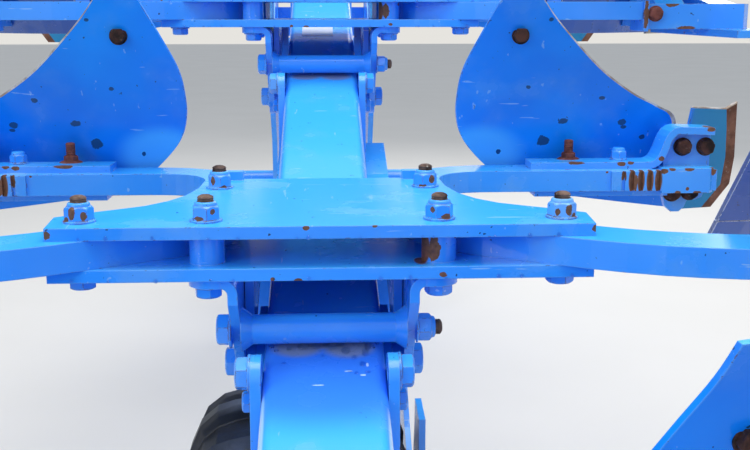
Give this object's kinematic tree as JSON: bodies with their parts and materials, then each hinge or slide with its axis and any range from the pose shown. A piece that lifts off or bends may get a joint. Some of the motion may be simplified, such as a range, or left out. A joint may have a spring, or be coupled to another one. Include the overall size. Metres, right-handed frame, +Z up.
{
  "type": "moldboard plough",
  "caption": "Mounted reversible moldboard plough with paired bodies and skimmers on a rising square beam, a depth wheel, a three-point headstock and parking stands, turned to its mid position.",
  "frame": {"origin": "on the floor under the middle of the whole plough", "axes": "+Z up, +Y forward to the tractor, +X to the right"},
  "size_m": [1.772, 4.8781, 2.2013],
  "materials": {
    "blue_paint": "gloss blue enamel, scratched and chipped at the corners, with rust in the chips",
    "rim_paint": "silver grey painted pressed steel with dirt and a little rust",
    "moldboard_steel": "soil-scoured steel with light brown rust",
    "share_steel": "worn steel with a rusty rear",
    "rusty_iron": "forged steel, rusty",
    "machined_steel": "greased machined steel",
    "chromed_rod": "hard chrome",
    "tyre": "dusty black rubber"
  },
  "bodies": {
    "headstock": {"headstock_tower": "blue_paint", "top_link_bar": "blue_paint", "cylinder_bracket": "blue_paint", "shaft_housing": "blue_paint", "link_cross_shaft": "blue_paint", "stand_sleeves": "blue_paint"},
    "plough_frame": {"main_beam": "blue_paint", "beam_flank_plates": "blue_paint", "swing_carrier": "blue_paint", "turning_shaft": "machined_steel", "setting_spindle": "machined_steel", "wheel_bracket": "blue_paint", "console_brackets_1": "blue_paint", "leg_plates_1": "blue_paint", "legs_1": "blue_paint", "skimmer_arms_1": "blue_paint", "skimmer_boards_1": "blue_paint", "moldboards_1": "moldboard_steel", "shares_1": "share_steel", "frogs_1": "rusty_iron", "console_brackets_2": "blue_paint", "leg_plates_2": "blue_paint", "legs_2": "blue_paint", "skimmer_arms_2": "blue_paint", "skimmer_boards_2": "blue_paint", "moldboards_2": "moldboard_steel", "shares_2": "share_steel", "frogs_2": "rusty_iron", "console_brackets_3": "blue_paint", "leg_plates_3": "blue_paint", "legs_3": "blue_paint", "skimmer_arms_3": "blue_paint", "skimmer_boards_3": "blue_paint", "moldboards_3": "moldboard_steel", "shares_3": "share_steel", "frogs_3": "rusty_iron", "console_brackets_4": "blue_paint", "leg_plates_4": "blue_paint", "legs_4": "blue_paint", "skimmer_arms_4": "blue_paint", "skimmer_boards_4": "blue_paint", "moldboards_4": "moldboard_steel", "shares_4": "share_steel", "frogs_4": "rusty_iron"},
    "stand_left": {"stand_left": "blue_paint"},
    "stand_right": {"stand_right": "blue_paint"},
    "turnover_cylinder": {"cylinder_barrel": "blue_paint"},
    "turnover_rod": {"cylinder_rod": "chromed_rod"},
    "wheel_arm": {"wheel_arm": "blue_paint"},
    "wheel": {"wheel_rim": "rim_paint", "tyre": "tyre"}
  },
  "joints": [
    {"name": "turnover", "type": "hinge", "parent": "headstock", "child": "plough_frame", "pos_m": [0, 2.001, 1.08], "axis": [0, 1, 0], "range_deg": [-90, 90]},
    {"name": "wheel_arm_swing", "type": "hinge", "parent": "plough_frame", "child": "wheel_arm", "pos_m": [0, -0.092, 0.95039], "axis": [1, 0, 0], "range_deg": [0, 30]},
    {"name": "wheel_spin", "type": "hinge", "parent": "wheel_arm", "child": "wheel", "pos_m": [-0.04, -0.742, 0.39], "axis": [1, 0, 0], "continuous": true},
    {"name": "stand_left_slide", "type": "slide", "parent": "headstock", "child": "stand_left", "axis": [0, 0, 1], "range_m": [0, 0.35]},
    {"name": "stand_right_slide", "type": "slide", "parent": "headstock", "child": "stand_right", "axis": [0, 0, 1], "range_m": [0, 0.35]},
    {"name": "cylinder_swing", "type": "hinge", "parent": "headstock", "child": "turnover_cylinder", "pos_m": [0, 2.227, 1.5], "axis": [0, 1, 0], "range_deg": [-16, 16]},
    {"name": "rod_slide", "type": "slide", "parent": "turnover_cylinder", "child": "turnover_rod", "axis": [0, 0, -1], "range_m": [0, 0.137]}
  ]
}
